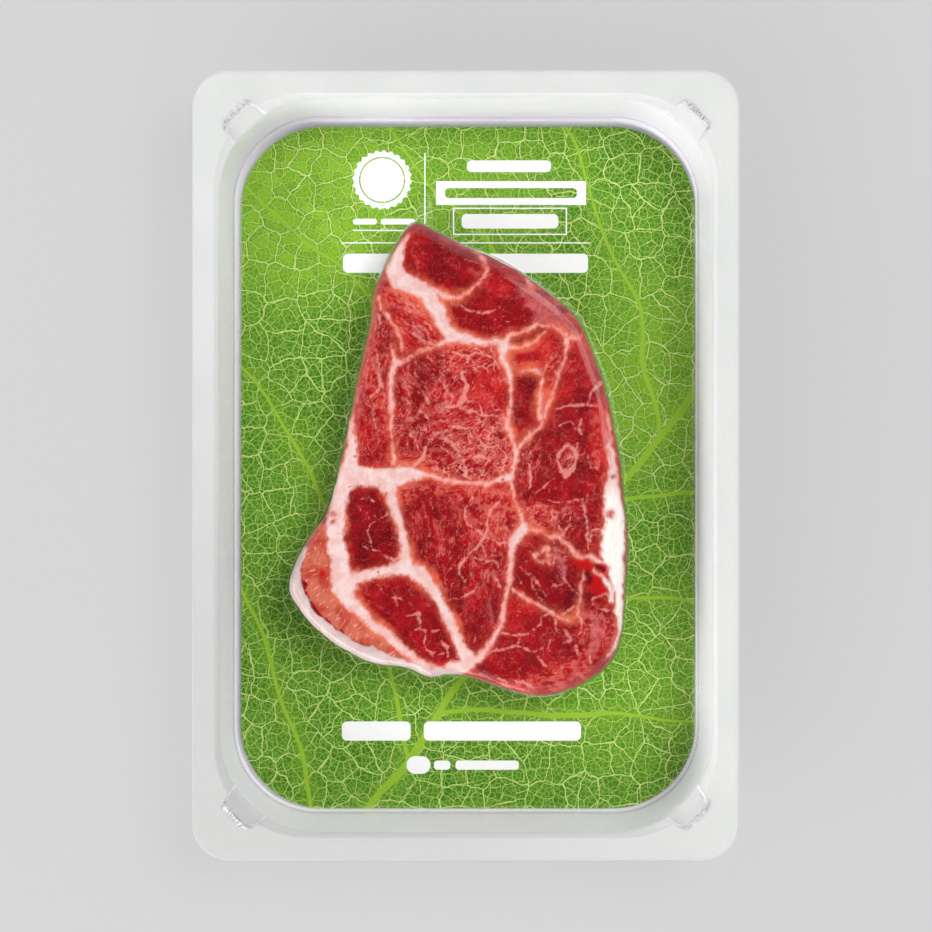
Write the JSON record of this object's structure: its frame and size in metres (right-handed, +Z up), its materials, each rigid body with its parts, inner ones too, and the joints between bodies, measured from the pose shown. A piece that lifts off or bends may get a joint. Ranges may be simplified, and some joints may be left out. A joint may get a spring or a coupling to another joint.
{
  "type": "meat tray pack",
  "caption": "Shallow white plastic tray with a flange, holding a raw steak on a leaf-printed card under a clear skin of film.",
  "frame": {"origin": "centre of the tray's footprint, on the surface that it rests on", "axes": "+Y along the tray's long side, towards the pointed end of the steak; +X to the right as the camera sees it; +Z up, out of the open well"},
  "size_m": [0.18, 0.26, 0.0286],
  "materials": {
    "white_plastic": "satin",
    "printed_card": "printed and coated",
    "raw_meat": "moist",
    "clear_film": "clear and glossy"
  },
  "bodies": {
    "root": {"tray": "white_plastic", "print_card": "printed_card", "steak": "raw_meat", "skin_film": "clear_film"}
  },
  "joints": []
}
